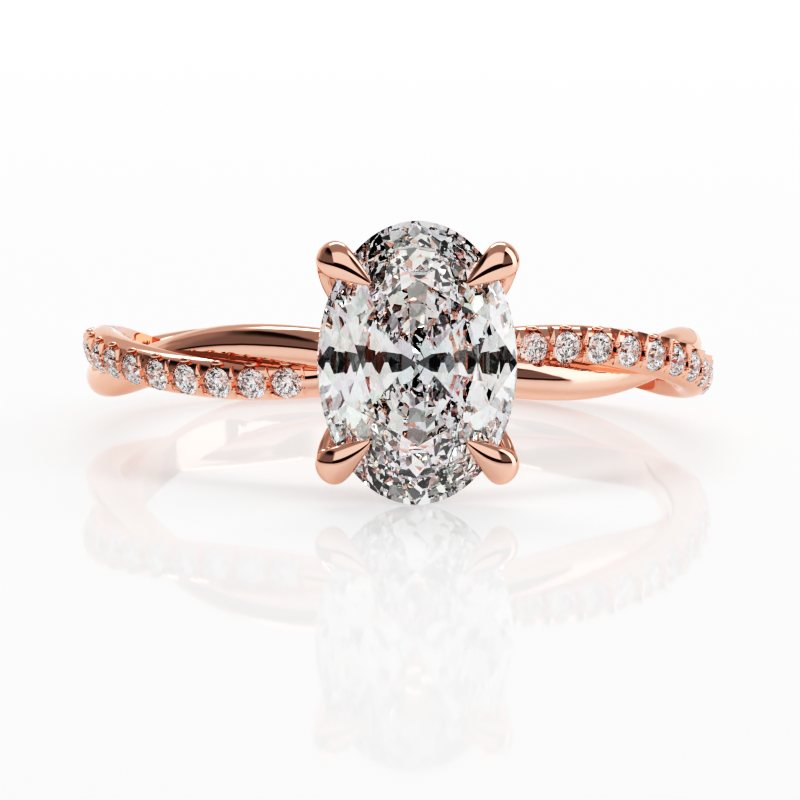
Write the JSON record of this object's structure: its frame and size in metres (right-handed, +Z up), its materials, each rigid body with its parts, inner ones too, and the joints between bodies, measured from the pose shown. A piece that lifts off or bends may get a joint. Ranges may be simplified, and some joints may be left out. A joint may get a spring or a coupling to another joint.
{
  "type": "twisted shank ring",
  "caption": "Finger ring with a twisted two-strand band, small round stones along one strand, and an oval stone in pointed claws.",
  "frame": {"origin": "on the surface the ring lies on, under the middle of its box", "axes": "+Z up from the surface, -Y towards the side that the oval stone faces, X across the finger"},
  "size_m": [0.0204, 0.025, 0.0084],
  "materials": {
    "rose_gold": "polished",
    "clear_stone": "faceted, clear"
  },
  "bodies": {
    "root": {"band_and_setting": "rose_gold", "centre_stone": "clear_stone", "accent_left_1": "clear_stone", "accent_left_2": "clear_stone", "accent_left_3": "clear_stone", "accent_left_4": "clear_stone", "accent_left_5": "clear_stone", "accent_left_6": "clear_stone", "accent_left_7": "clear_stone", "accent_left_8": "clear_stone", "accent_left_9": "clear_stone", "accent_left_10": "clear_stone", "accent_left_11": "clear_stone", "accent_right_1": "clear_stone", "accent_right_2": "clear_stone", "accent_right_3": "clear_stone", "accent_right_4": "clear_stone", "accent_right_5": "clear_stone", "accent_right_6": "clear_stone", "accent_right_7": "clear_stone", "accent_right_8": "clear_stone", "accent_right_9": "clear_stone", "accent_right_10": "clear_stone", "accent_right_11": "clear_stone"}
  },
  "joints": []
}
